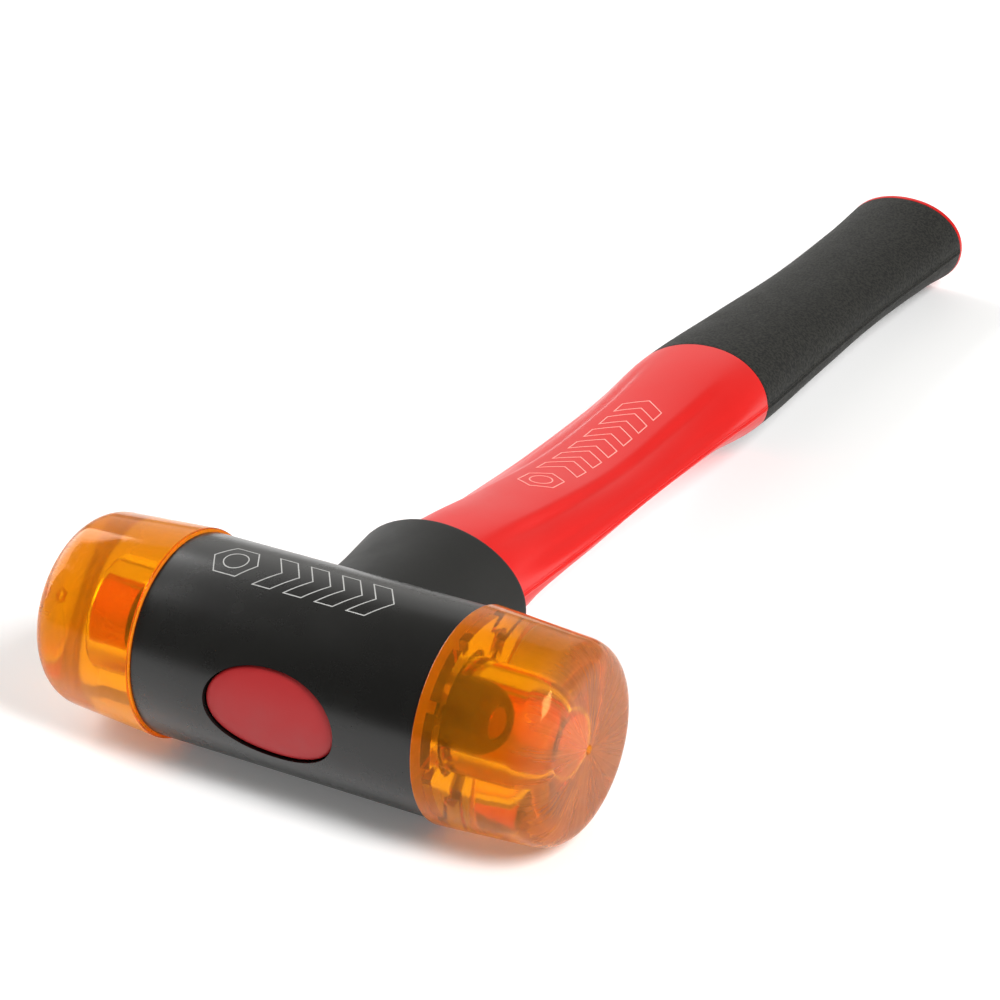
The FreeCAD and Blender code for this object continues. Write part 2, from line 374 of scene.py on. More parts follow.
# Black thermoplastic rubber from a spark-eroded tool: sandy grain that breaks up every highlight, with painted
# shade in its pits and painted light on its tops. It is drawn as coarse as it needs to be to show.
GRIP_RUBBER = GrainedFinish("rubber_moulded_sandy_black_shaded_grain", "030302", "262621", rough_low=0.65,
                            rough_high=0.85, mottle_mm=9.0, grain_mm=0.72, grain_height=0.18, painted_grain_shade=1.0)
# Turned steel, black oxide: dark, warm, with a little metal gloss.
OXIDE_STEEL = GrainedFinish("steel_turned_black_oxide", "0E0B08", "1A140E", rough_low=0.35, rough_high=0.5,
                            mottle_mm=2.0, grain_mm=0.5, grain_height=0.01, metallic=0.3)
# Pressed mild steel with its mill finish: grey, soft streaks.
PRESSED_STEEL = GrainedFinish("steel_pressed_bright", "8C8C8A", "A6A6A3", rough_low=0.25, rough_high=0.4,
                              mottle_mm=4.0, grain_mm=0.6, grain_height=0.004, metallic=1.0)
# Rolled steel shot: small dull grey balls.
SHOT_STEEL = GrainedFinish("steel_rolled_shot", "6E6E6C", "8A8A87", rough_low=0.3, rough_high=0.45,
                           mottle_mm=1.5, grain_mm=0.4, grain_height=0.004, metallic=1.0)
# Glass fibre in polyester, pultruded: straw coloured with fine lengthwise strands.
GLASS_FIBRE = GrainedFinish("glass_fibre_pultruded", "B8AE78", "D2C994", rough_low=0.4, rough_high=0.55,
                            mottle_mm=2.0, grain_mm=0.5, grain_height=0.02, stretch=(1.0, 0.05, 1.0))
# Epoxy adhesive, cast in place: cloudy straw.
EPOXY = GrainedFinish("epoxy_cast_cloudy", "B5A36A", "CDBD86", rough_low=0.25, rough_high=0.4,
                      mottle_mm=3.0, grain_mm=1.0, grain_height=0.01)
# Nitrile rubber sheet, punched: flat black.
WASHER_RUBBER = GrainedFinish("nitrile_punched_black", "151515", "1E1E1E", rough_low=0.6, rough_high=0.7,
                              mottle_mm=3.0, grain_mm=0.5, grain_height=0.01)
# Pale grey ink, pad printed: thin and slightly uneven.
TUBE_INK = GrainedFinish("ink_pad_printed_grey", "9A9A98", "C4C4C2", rough_low=0.5, rough_high=0.6,
                         mottle_mm=1.5, grain_mm=0.4, grain_height=0.002)
# Pale grey-pink ink, pad printed on the red jacket: reads as a faint outline.
HANDLE_INK = GrainedFinish("ink_pad_printed_pink", "FF9A90", "FFB4AA", rough_low=0.45, rough_high=0.55,
                           mottle_mm=1.5, grain_mm=0.4, grain_height=0.002)
# White paper sheet, matte, with a faint glow as on a lit table, which keeps the shadows pale.
FLOOR_PAPER = GrainedFinish("paper_matte_white", "F9F9F9", "FBFBFB", rough_low=0.85, rough_high=0.9,
                            mottle_mm=400.0, grain_mm=2.0, grain_height=0.001, glow=0.12)


# ------------------------------------------------------------------ placing and drafting

@dataclass(frozen=True)
class HeadFrame:
    """Where the head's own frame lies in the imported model."""

    centre: Vector
    tilt: float

    @classmethod
    def from_cad(cls, core_thickness: float = 8.8) -> "HeadFrame":
        """Read the head's centre from the tube, and the tilt from the long core of the handle.

        Args:
            core_thickness: Thickness of the handle's core across, in millimetres.

        Returns:
            The frame of the head.
        """
        low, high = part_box("head_tube")
        core_low, core_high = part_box("handle_core")
        size = core_high - core_low
        tilt = math.asin((size.z - core_thickness * MM) / size.y)
        return cls((low + high) / 2, tilt)

    def matrix(self) -> Matrix:
        """Matrix from head millimetres to scene metres."""
        return Matrix.Translation(self.centre) @ Matrix.Rotation(-self.tilt, 4, "X") @ Matrix.Scale(MM, 4)


def rounded(corners: Sequence[Triple], steps: int = 8) -> list[Pair]:
    """Round the corners of an open outline.

    Args:
        corners: Points as (x, radius about the axis, corner radius). The first and last stay as they are.
        steps: Number of short lines in each round.

    Returns:
        The outline's points.
    """
    points = [(corners[0][0], corners[0][1])]
    for before, here, after in zip(corners, corners[1:], corners[2:]):
        corner, radius = Vector(here[:2]), here[2]
        back = (Vector(before[:2]) - corner).normalized()
        ahead = (Vector(after[:2]) - corner).normalized()
        half = back.angle(ahead) / 2
        straight = half > math.pi / 2 - 1e-3
        if radius <= 0 or straight:
            points.append(tuple(corner))
            continue
        centre = corner + (back + ahead).normalized() * (radius / math.sin(half))
        start = corner + back * (radius / math.tan(half)) - centre
        end = corner + ahead * (radius / math.tan(half)) - centre
        for step in range(steps + 1):
            spoke = start.slerp(end, step / steps)
            points.append(tuple(centre + spoke.normalized() * radius))
    points.append((corners[-1][0], corners[-1][1]))
    return points


def ease(part: float) -> float:
    """Smooth step from 0 to 1 as a part runs from 0 to 1."""
    part = min(1.0, max(0.0, part))
    return part * part * (3 - 2 * part)


class Draft:
    """Points and faces of one piece, drawn in the head's frame in millimetres."""

    def __init__(self) -> None:
        """Start an empty draft."""
        self.points: list[Vector] = []
        self.faces: list[list[int]] = []
        self.marks: list[int] = []

    def row(self, points: Iterable[Sequence[float]]) -> list[int]:
        """Add a row of points.

        Args:
            points: Places in the head's frame.

        Returns:
            The points' numbers.
        """
        start = len(self.points)
        self.points.extend(Vector(p) for p in points)
        return list(range(start, len(self.points)))

    def face(self, corners: Sequence[int], mark: int = 0) -> None:
        """Add a face, leaving out corners that repeat.

        Args:
            corners: Point numbers in order.
            mark: Number of the finish on the face.
        """
        kept = [c for i, c in enumerate(corners) if c != corners[i - 1]]
        if len(kept) > 2:
            self.faces.append(kept)
            self.marks.append(mark)

    def skin(self, rows: Sequence[Sequence[int]], mark: int = 0) -> None:
        """Join closed rows of the same length into a skin.

        Args:
            rows: Rows of point numbers.
            mark: Number of the finish on these faces.
        """
        for low, high in zip(rows, rows[1:]):
            count = len(low)
            for i in range(count):
                j = (i + 1) % count
                self.face([low[i], low[j], high[j], high[i]], mark)

    def capped(self, rows: Sequence[Sequence[int]], mark: int = 0) -> None:
        """Join closed rows of the same length into a skin and close its two ends.

        Args:
            rows: Rows of point numbers.
            mark: Number of the finish on these faces.
        """
        self.skin(rows, mark=mark)
        self.face(rows[0], mark)
        self.face(rows[-1], mark)

    def revolve(self, profile: Sequence[Pair], segments: int = 128, loop: bool = False) -> None:
        """Turn an outline of (x, radius) points about the X axis.

        Args:
            profile: The outline.
            segments: Number of steps round the axis.
            loop: Whether the outline's end joins its start.
        """
        rows = []
        for x, radius in profile:
            on_axis = radius < 1e-6
            if on_axis:
                rows.append(self.row([(x, 0, 0)]) * segments)
                continue
            turn = [2 * math.pi * i / segments for i in range(segments)]
            rows.append(self.row([(x, radius * math.cos(t), radius * math.sin(t)) for t in turn]))
        self.skin(rows + rows[:1] if loop else rows)

    def build(self, name: str, finishes: Sequence[Finish], place: Matrix) -> bpy.types.Object:
        """Make the object.

        Args:
            name: Name of the piece.
            finishes: Finishes in the order of the faces' marks.
            place: Matrix from head millimetres to scene metres.

        Returns:
            The new object.
        """
        mesh = bpy.data.meshes.new(name)
        mesh.from_pydata([place @ p for p in self.points], [], self.faces)
        mesh.polygons.foreach_set("material_index", self.marks)
        tidy = bmesh.new()
        tidy.from_mesh(mesh)
        bmesh.ops.remove_doubles(tidy, verts=tidy.verts, dist=1e-7)
        bmesh.ops.recalc_face_normals(tidy, faces=tidy.faces)
        tidy.to_mesh(mesh)
        tidy.free()
        piece = bpy.data.objects.new(name, mesh)
        bpy.context.scene.collection.objects.link(piece)
        for finish in finishes:
            mesh.materials.append(finish.material())
        smooth(mesh)
        return piece


def smooth(mesh: bpy.types.Mesh) -> None:
    """Shade a mesh smooth, apart from its crisp edges."""
    mesh.polygons.foreach_set("use_smooth", [True] * len(mesh.polygons))
    mesh.set_sharp_from_angle(angle=math.radians(CRISP_DEG))


def cut_away(piece: bpy.types.Object, tool: bpy.types.Object) -> None:
    """Cut the tool's shape out of a piece and remove the tool.

    Args:
        piece: Piece that is cut.
        tool: Closed solid that is taken away.
    """
    modifier = piece.modifiers.new("cut", "BOOLEAN")
    modifier.operation, modifier.object, modifier.solver = "DIFFERENCE", tool, "EXACT"
    bpy.context.view_layer.update()
    result = bpy.data.meshes.new_from_object(piece.evaluated_get(bpy.context.evaluated_depsgraph_get()))
    piece.modifiers.clear()
    old, piece.data = piece.data, result
    result.name = old.name
    bpy.data.meshes.remove(old)
    bpy.data.objects.remove(tool)
    smooth(piece.data)


def report(piece: bpy.types.Object, body: str, slot: str, *nodes: str) -> None:
    """Put a finished piece on its body, hide the CAD nodes it stands for, and log it.

    Args:
        piece: The finished piece.
        body: Body that it rides on.
        slot: Material slot of the record; not used.
        *nodes: CAD nodes that it stands for.
    """
    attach(piece, body)
    if nodes:
        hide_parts(*nodes)
    LOG.info("%-22s %6d faces on %s", piece.name, len(piece.data.polygons), body)


# ------------------------------------------------------------------ printed marks

@dataclass(frozen=True)
class OutlineMark:
    """A generic printed mark, a nut and a row of chevrons: thin closed outlines laid on a surface."""

    start: float
    size: float = 12.0
    line: float = 0.28
    height: float = 0.05
    count: int = 4
    # as parts of half the size: the nut's hole, where the chevrons start, the step between them and their arm
    hole: float = 0.5
    first: float = 1.4
    pitch: float = 1.42
    arm: float = 0.8
    # as parts of the arm: a chevron's point and its notch
    tip: float = 1.9
    notch: float = 0.9
    # length of the short lines that follow a curved surface, and the least that a mitre may narrow to
    stride: float = 1.0
    mitre: float = 0.35

    def polygon(self, radius: float, corners: int) -> list[Pair]:
        """Corners of a regular polygon."""
        turns = [math.radians(360 / corners * k) for k in range(corners)]
        return [(radius * math.cos(t), radius * math.sin(t)) for t in turns]

    def shapes(self) -> list[list[Pair]]:
        """Outline the nut and the chevrons.

        Returns:
            The closed outlines.
        """
        half = self.size / 2
        arm = half * self.arm
        outlines = [self.polygon(half, corners=6), self.polygon(half * self.hole, corners=24)]
        for step in range(self.count):
            start = half * self.first + step * half * self.pitch
            outlines.append([(start, half), (start + arm, half), (start + arm * self.tip, 0),
                             (start + arm, -half), (start, -half), (start + arm * self.notch, 0)])
        return outlines

    def divide(self, outline: Sequence[Pair]) -> list[Pair]:
        """Divide an outline's sides into short lines.

        Args:
            outline: Corners of the closed outline.

        Returns:
            The corners and the points between them.
        """
        dense: list[Pair] = []
        for i, (u, v) in enumerate(outline):
            nu, nv = outline[(i + 1) % len(outline)]
            pieces = max(1, round(math.hypot(nu - u, nv - v) / self.stride))
            dense += [(u + (nu - u) * k / pieces, v + (nv - v) * k / pieces) for k in range(pieces)]
        return dense

    def lay(self, draft: Draft, outline: Sequence[Pair], surface: Surface) -> None:
        """Add one outline to a draft as a thin raised line.

        Args:
            draft: Draft that gets the line.
            outline: Corners of the closed outline.
            surface: Gives the point and the outward normal at a place on the surface.
        """
        dense = self.divide(outline)
        rows: list[list[int]] = []
        for i, spot in enumerate(dense):
            here, before, after = Vector(spot), Vector(dense[i - 1]), Vector(dense[(i + 1) % len(dense)])
            first, second = (here - before).normalized(), (after - here).normalized()
            normal = Vector((-(first + second).y, (first + second).x)).normalized()
            stretch = 1 / max(self.mitre, normal.dot(Vector((-first.y, first.x))))
            offset = normal * (self.line / 2 * stretch)
            corners = []
            for side, lift in ((-1, -self.height), (1, -self.height), (1, self.height), (-1, self.height)):
                point, out = surface(*(here + offset * side))
                corners.append(point + out * lift)
            rows.append(draft.row(corners))
        draft.skin(rows + rows[:1])

    def draw(self, surface: Surface) -> Draft:
        """Lay the whole mark on a surface.

        Args:
            surface: Gives the point and the outward normal at a place on the surface.

        Returns:
            The draft that holds its lines.
        """
        draft = Draft()
        for outline in self.shapes():
            self.lay(draft, [(self.start + self.size / 2 + u, v) for u, v in outline], surface)
        return draft


# ------------------------------------------------------------------ head

class Side(Enum):
    """The two ends of the head."""

    RIGHT = 1
    LEFT = -1

    @property
    def word(self) -> str:
        """Lower-case name used in node and body names."""
        return self.name.lower()

    def turn(self) -> Matrix:
        """Half turn that takes the right-hand piece to this end."""
        return Matrix.Identity(4) if self is Side.RIGHT else Matrix.Rotation(math.pi, 4, "Z")


@dataclass
class Head:
    """Painted steel tube with its eyes, and the pieces closed up inside it."""

    place: Matrix
    radius: float = 25.0
    wall: float = 2.5
    half: float = 38.3
    edge: float = 0.4
    eye_gap: float = 0.3
    eye_cut: tuple[float, ...] = (-30.0, -15.0, 0.0, 15.0, 30.0)
    mark: OutlineMark = OutlineMark(start=-28.5)
    mark_angle: float = 83.0

    def build_tube(self, handle: "Handle") -> None:
        """Draw the tube and cut the oval eyes through it.

        Args:
            handle: Handle whose section the eyes follow.
        """
        inner = self.radius - self.wall
        # the outline starts and ends halfway along the outside, a hair apart
        profile = rounded([
            (0, self.radius, 0), (self.half, self.radius, self.edge), (self.half, inner, self.edge),
            (-self.half, inner, self.edge), (-self.half, self.radius, self.edge), (-0.01, self.radius, 0)],
            steps=4)
        draft = Draft()
        draft.revolve(profile, segments=256, loop=True)
        tube = draft.build("head_tube_painted", [TUBE_PAINT], self.place)
        cutter = Draft()
        cutter.capped([cutter.row(handle.ring(y, grow=self.eye_gap)) for y in self.eye_cut])
        cut_away(tube, cutter.build("eye_cutter", [TUBE_PAINT], self.place))
        report(tube, "mallet", "black_paint", "head_tube")

    def surface(self, along: float, around: float) -> tuple[Vector, Vector]:
        """Find a place on the tube.

        Args:
            along: Distance along the tube.
            around: Distance round it from the mark's middle line.

        Returns:
            The point and the outward normal.
        """
        turn = math.radians(self.mark_angle) + around / self.radius
        out = Vector((0, -math.cos(turn), math.sin(turn)))
        return Vector((along, 0, 0)) + out * self.radius, out

    def build_mark(self) -> None:
        """Print the outlines on the tube's upper front."""
        piece = self.mark.draw(self.surface).build("head_mark", [TUBE_INK], self.place)
        report(piece, "mallet", "black_paint")


@dataclass
class Spigot:
    """End plug in the tube's mouth: flange, threaded spigot and the plug of its filling hole."""

    place: Matrix
    side: Side
    start: float = 35.3
    shoulder: float = 38.3
    end: float = 48.0
    flange_r: float = 22.4
    radius: float = 8.6
    bore_r: float = 6.0
    lip: float = 3.0
    end_wall: float = 2.2
    hole_r: float = 4.0
    # corner radii: flange and bore's mouth, foot of the spigot, its tip, the hole and the bore's end
    flange_edge: float = 0.4
    foot: float = 0.6
    tip: float = 2.2
    hole_edges: Pair = (0.3, 0.2)
    bore_end: float = 1.0

    def build(self) -> None:
        """Draw the plug with its flange, rounded spigot and hole."""
        floor = self.end - self.end_wall
        lip_r = self.bore_r + self.lip
        # the outline starts and ends on the rear face, a tenth apart
        profile = rounded([
            (self.start, lip_r, 0), (self.start, self.flange_r, self.flange_edge),
            (self.shoulder, self.flange_r, self.flange_edge), (self.shoulder, self.radius, self.foot),
            (self.end, self.radius, self.tip), (self.end, self.hole_r, self.hole_edges[0]),
            (floor, self.hole_r, self.hole_edges[1]), (floor, self.bore_r, self.bore_end),
            (self.start, self.bore_r, self.flange_edge), (self.start, lip_r - 0.1, 0)], steps=6)
        draft = Draft()
        draft.revolve(profile, segments=128, loop=True)
        piece = draft.build(f"spigot_{self.side.word}", [OXIDE_STEEL], self.place @ self.side.turn())
        report(piece, "mallet", "dark_steel", f"end_plug_{self.side.word}")


class AmberSkin(Enum):
    """Parts of an amber face's skin, numbered in the order of the piece's finishes."""

    OUTSIDE = 0
    INSIDE = 1
    SEAT = 2


@dataclass
class StrikingFace:
    """Clear amber face with its socket, air pocket and ring of arc pockets."""

    place: Matrix
    side: Side
    rear: float = 38.4
    front: float = 69.5
    rim_r: float = 25.9
    end_r: float = 24.3
    shoulder: float = 7.2
    socket_r: float = 8.7
    socket_depth: float = 20.0
    socket_corner: float = 2.0
    ring_in: float = 13.5
    ring_out: float = 18.1
    ring_depth: float = 2.4
    ring_count: int = 8
    ring_steps: int = 12
    ring_phase: float = 14.0
    spoke: float = 8.0
    washer: Pair = (9.5, 12.5)
    washer_depth: float = 1.0
    gate_r: float = 1.2
    gate_depth: float = 1.5
    gate_floor: float = 0.6
    # corner radii: the gate's floor and mouth, the rim, the washer's recess and the socket's mouth
    gate_edges: Pair = (0.2, 0.25)
    rim_edge: float = 0.45
    recess_edge: float = 0.15
    mouth: float = 0.3
    # where the skin changes: depths from the seat, distance from the front, and distance from the axis
    seat_depth: float = 0.05
    inside_depth: float = 0.3
    inside_front: float = 2.0
    inside_r: float = 20.0

    def build(self) -> None:
        """Draw the face, then cut its arc pockets."""
        slope = (self.rim_r - self.end_r) / (self.front - self.shoulder - self.rear)
        corner = self.rim_r - slope * (self.front - self.rear)
        recess = self.rear + self.washer_depth
        socket = self.rear + self.socket_depth
        gate = self.front - self.gate_depth
        inner, outer = self.washer
        profile = rounded([
            (gate, 0, 0), (gate, self.gate_r * self.gate_floor, self.gate_edges[0]),
            (self.front, self.gate_r, self.gate_edges[1]), (self.front, corner, self.shoulder),
            (self.rear, self.rim_r, self.rim_edge), (self.rear, outer, self.recess_edge),
            (recess, outer, self.recess_edge), (recess, inner, self.recess_edge),
            (self.rear, inner, self.recess_edge), (self.rear, self.socket_r, self.mouth),
            (socket, self.socket_r, self.socket_corner), (socket, 0, 0)], steps=8)
        draft = Draft()
        draft.revolve(profile, segments=192)
        for number, corners in enumerate(draft.faces):
            middle = sum((draft.points[c] for c in corners), Vector()) / len(corners)
            draft.marks[number] = self.skin_at(middle).value
        face = draft.build(f"face_amber_{self.side.word}", [AMBER, AMBER_INSIDE, AMBER_SEAT],
                           self.place @ self.side.turn())
        cut_away(face, self.arc_pockets())
        report(face, f"{self.side.word}_face", "amber", f"face_{self.side.word}")

    def skin_at(self, spot: Vector) -> AmberSkin:
        """Tell which part of the skin a place is on.

        Args:
            spot: Place on the right-hand face.

        Returns:
            The part of the skin.
        """
        if spot.x < self.rear + self.seat_depth:
            return AmberSkin.SEAT
        behind_front = spot.x < self.front - self.inside_front and spot.yz.length < self.inside_r
        if spot.x < self.rear + self.inside_depth or behind_front:
            return AmberSkin.INSIDE
        return AmberSkin.OUTSIDE

    def arc_pockets(self) -> bpy.types.Object:
        """Draw blocks with the shape of the pockets round the rim.

        Returns:
            The blocks, as one object.
        """
        draft = Draft()
        pitch = 360 / self.ring_count
        arc = pitch - self.spoke
        # the blocks start 1 mm outside the seat, so that they cut right through it
        start, end = self.rear - 1, self.rear + self.ring_depth
        section = ((start, self.ring_in), (start, self.ring_out), (end, self.ring_out), (end, self.ring_in))
        for number in range(self.ring_count):
            rows = []
            for step in range(self.ring_steps + 1):
                degrees = self.ring_phase + number * pitch + self.spoke / 2 + arc * step / self.ring_steps
                turn = math.radians(degrees)
                rows.append(draft.row([(x, r * math.cos(turn), r * math.sin(turn)) for x, r in section]))
            draft.capped(rows, AmberSkin.INSIDE.value)
        return draft.build("pocket_cutter", [AMBER, AMBER_INSIDE], self.place @ self.side.turn())


# ------------------------------------------------------------------ handle

@dataclass
class Handle:
    """Red jacket on its core, from the tube's front eye to the rim at the butt."""

    place: Matrix
    columns: int = 144
    # turns away from the parting line on each side, in degrees, of the extra columns there
    fine: tuple[float, ...] = (0.6, 1.2, 1.8, 3.3, 4.3)
    power: float = 2.1
    # y, half width along X, half height along Z
    stations: tuple[Triple, ...] = (
        (-27.0, 17.4, 11.1), (-2.0, 17.8, 11.5), (24.0, 18.4, 12.6), (54.0, 19.3, 15.4), (89.0, 20.1, 10.9),
        (124.0, 19.8, 7.4), (158.0, 20.1, 8.9), (193.0, 21.0, 12.2), (234.0, 19.5, 11.9), (276.0, 18.6, 10.4),
        (318.0, 19.2, 11.7), (338.5, 19.7, 14.2))
    # the neck's start, its number of rows, and its rounded step down under the grip as (grown, further on)
    neck_from: float = 22.0
    neck_rows: int = 150
    neck_gap: float = 0.35
    neck_step: tuple[Pair, ...] = ((-0.12, 0.08), (-0.4, 0.2), (-2.4, 0.25))
    # the end in the front eye: where it starts, the section it follows, its rounded edge as (grown, sunk),
    # and the parts of the section that its rows shrink to
    eye_from: float = -10.0
    eye_section: float = -22.0
    eye_radius: float = 24.2
    eye_edge: tuple[Pair, ...] = ((0.0, 0.8), (-0.08, 0.35), (-0.35, 0.08), (-0.8, 0.0))
    eye_parts: tuple[float, ...] = (0.85, 0.7, 0.55, 0.4, 0.25, 0.1)
    # the butt: its rim, the lip towards the grip as (further on, grown), and its end wall as (part, sunk)
    rim: float = 1.8
    rim_round: float = 0.9
    rim_steps: int = 5
    rim_lip: tuple[Pair, ...] = ((0.0, -2.0), (0.0, -0.35), (0.12, -0.1))
    butt_wall: tuple[Pair, ...] = ((0.88, 0.0), (0.84, 0.25), (0.6, 0.3), (0.3, 0.3))
    grip_from: float = 193.0
    grip_crown: float = 4.9
    # the parting line: two beads, this far each side of the line, and a groove between them
    parting_ridge: float = 0.2
    bead_off: float = 0.6
    bead_width: float = 0.25
    groove: float = 1.4
    groove_width: float = 0.22
    # the flanks are dished by this part of the half height, which leaves a flat crown with a soft edge
    dish_part: float = 0.15
    dish_from: float = 50.0
    dish_to: float = 192.0
    # lengths over which the dish comes and goes, and the turns in degrees where it starts, is full, and ends
    dish_fade: Pair = (35.0, 40.0)
    dish_turns: tuple[float, ...] = (5.0, 25.0, 50.0, 63.0)
    mark: OutlineMark = OutlineMark(start=95.0, line=0.3, count=6)

    def half_sizes(self, y: float) -> Pair:
        """Read the handle's section off a smooth curve through its stations.

        Args:
            y: Station along the handle.

        Returns:
            The half width and the half height.
        """
        last = len(self.stations) - 1
        index = max(i for i in range(last) if self.stations[i][0] <= y or i == 0)
        low, high = self.stations[index], self.stations[index + 1]
        before, after = self.stations[max(index - 1, 0)], self.stations[min(index + 2, last)]
        span = high[0] - low[0]
        t = (y - low[0]) / span
        sizes = []
        for k in (1, 2):
            leave = (high[k] - before[k]) / (high[0] - before[0]) * span
            arrive = (after[k] - low[k]) / (after[0] - low[0]) * span
            sizes.append((2 * t ** 3 - 3 * t ** 2 + 1) * low[k] + (t ** 3 - 2 * t ** 2 + t) * leave
                         + (3 * t ** 2 - 2 * t ** 3) * high[k] + (t ** 3 - t ** 2) * arrive)
        return sizes[0], sizes[1]

    def outline(self, turn: float, half_x: float, half_z: float) -> Pair:
        """Find a place on a rounded section.

        Args:
            turn: Turn round the section.
            half_x: Its half width.
            half_z: Its half height.

        Returns:
            The place, as x and z.
        """
        c, s = math.cos(turn), math.sin(turn)
        return (half_x * math.copysign(abs(c) ** (2 / self.power), c),
                half_z * math.copysign(abs(s) ** (2 / self.power), s))

    def turns(self) -> list[float]:
        """Space the columns round the handle, closer together at the parting line on each side.

        Returns:
            The columns' turns.
        """
        even = [360 * i / self.columns for i in range(self.columns)]
        fine = [side + way * away for side in (0, 180) for way in (-1, 1) for away in self.fine]
        return [math.radians(turn) for turn in sorted(turn % 360 for turn in even + fine)]

    def ring(self, y: float, grow: float = 0.0, part: float = 1.0) -> Ring:
        """Draw a ring of points round the handle, without its dish and its parting line.

        Args:
            y: Station along the handle.
            grow: Distance that the ring stands outside the section.
            part: Part of the section's size that the ring has.

        Returns:
            The points.
        """
        half_x, half_z = self.half_sizes(y)
        flat = [self.outline(turn, half_x * part + grow, half_z * part + grow) for turn in self.turns()]
        return [Vector((x, y, z)) for x, z in flat]

    def dish(self, y: float, turn: float) -> float:
        """Work out the depth of the flank's hollow.

        Args:
            y: Station along the handle.
            turn: Turn round it.

        Returns:
            The depth.
        """
        lean = math.degrees(math.asin(abs(math.sin(turn))))
        start, full, still_full, end = self.dish_turns
        along = ease((y - self.dish_from) / self.dish_fade[0]) * ease((self.dish_to - y) / self.dish_fade[1])
        depth = self.dish_part * self.half_sizes(y)[1] * along
        return depth * ease((lean - start) / (full - start)) * ease((end - lean) / (end - still_full))

    def point(self, y: float, turn: float, grow: float = 0.0, ridge: float = 0.0) -> Vector:
        """Find a point on the handle's skin, with its dished flanks and its raised parting lines.

        Args:
            y: Station along the handle.
            turn: Turn round it.
            grow: Distance that the point stands outside the skin.
            ridge: Height of the parting lines.

        Returns:
            The point.
        """
        half_x, half_z = self.half_sizes(y)
        grow -= self.dish(y, turn)
        x, z = self.outline(turn, half_x + grow, half_z + grow)
        beads = math.exp(-((abs(z) - self.bead_off) / self.bead_width) ** 2)
        raised = ridge * (beads - self.groove * math.exp(-(z / self.groove_width) ** 2))
        x += math.copysign(raised, x)
        return Vector((x, y, z))

    def grip_edge(self, turn: float) -> float:
        """Station where the red jacket ends and the grip begins: bowed at the top and bottom."""
        return self.grip_from + self.grip_crown * math.sin(turn) ** 2

    def build_neck(self) -> None:
        """Draw the red jacket from inside the head to its step under the grip."""
        draft = Draft()
        rows = []
        start, turns = self.neck_from, self.turns()
        for step in range(self.neck_rows + 1):
            part = step / self.neck_rows
            rows.append(draft.row(self.point(start + (self.grip_edge(t) - self.neck_gap - start) * part, t,
                                             ridge=self.parting_ridge) for t in turns))
        for grow, on in self.neck_step:
            rows.append(draft.row(self.point(self.grip_edge(t) - self.neck_gap + on, t, grow) for t in turns))
        draft.capped(rows)
        report(draft.build("jacket_neck", [JACKET_RED], self.place), "mallet", "red_jacket", "handle_jacket")

    def on_eye(self, points: Ring, sunk: float) -> Ring:
        """Move points along the handle on to a round that follows the tube.

        Args:
            points: The points.
            sunk: Depth of the round below the handle's end.

        Returns:
            The moved points.
        """
        radius = self.eye_radius - sunk
        return [Vector((p.x, -math.sqrt(radius ** 2 - p.z * p.z), p.z)) for p in points]

    def build_eye_end(self) -> None:
        """Draw the handle's end in the tube's front eye, trimmed to follow the tube."""
        draft = Draft()
        rows = [draft.row(self.ring(self.eye_from))]
        for grow, sunk in self.eye_edge:
            rows.append(draft.row(self.on_eye(self.ring(self.eye_section, grow), sunk)))
        for part in self.eye_parts:
            rows.append(draft.row(self.on_eye(self.ring(self.eye_section, part=part), 0.0)))
        draft.capped(rows)
        # the end's darker red is painted shade
        report(draft.build("jacket_eye_end", [TRIMMED_RED_SHADED], self.place), "mallet", "red_jacket")

    def build_butt(self) -> None:
        """Draw the rim and end wall of the jacket behind the grip."""
        draft = Draft()
        end = self.stations[-1][0]
        rows = [draft.row(self.ring(end - self.rim + on, grow)) for on, grow in self.rim_lip]
        for step in range(self.rim_steps + 1):
            turn = math.pi / 2 * step / self.rim_steps
            y = end - self.rim_round * (1 - math.sin(turn))
            rows.append(draft.row(self.ring(y, -self.rim_round * (1 - math.cos(turn)))))
        for part, sunk in self.butt_wall:
            rows.append(draft.row((p.x, end - sunk, p.z) for p in self.ring(end, part=part)))
        draft.capped(rows)
        report(draft.build("jacket_butt_rim", [JACKET_RED], self.place), "mallet", "red_jacket")

    def crown(self, y: float, x: float) -> Vector:
        """Find the point on the handle's top at a place seen from above.

        Args:
            y: Station along the handle.
            x: Distance across it.

        Returns:
            The point.
        """
        half_x, half_z = self.half_sizes(y)
        return Vector((x, y, half_z * (1 - abs(x / half_x) ** self.power) ** (1 / self.power)))

    def surface(self, along: float, across: float) -> tuple[Vector, Vector]:
        """Find a place on the handle's top.

        Args:
            along: Station along the handle.
            across: Distance across it.

        Returns:
            The point and the outward normal.
        """
        step = 0.2
        down = self.crown(along + step, across) - self.crown(along - step, across)
        side = self.crown(along, across + step) - self.crown(along, across - step)
        return self.crown(along, across), side.cross(down).normalized()

    def build_mark(self) -> None:
        """Print the outlines on the handle's top."""
        piece = self.mark.draw(self.surface).build("handle_mark", [HANDLE_INK], self.place)
        report(piece, "mallet", "red_jacket")


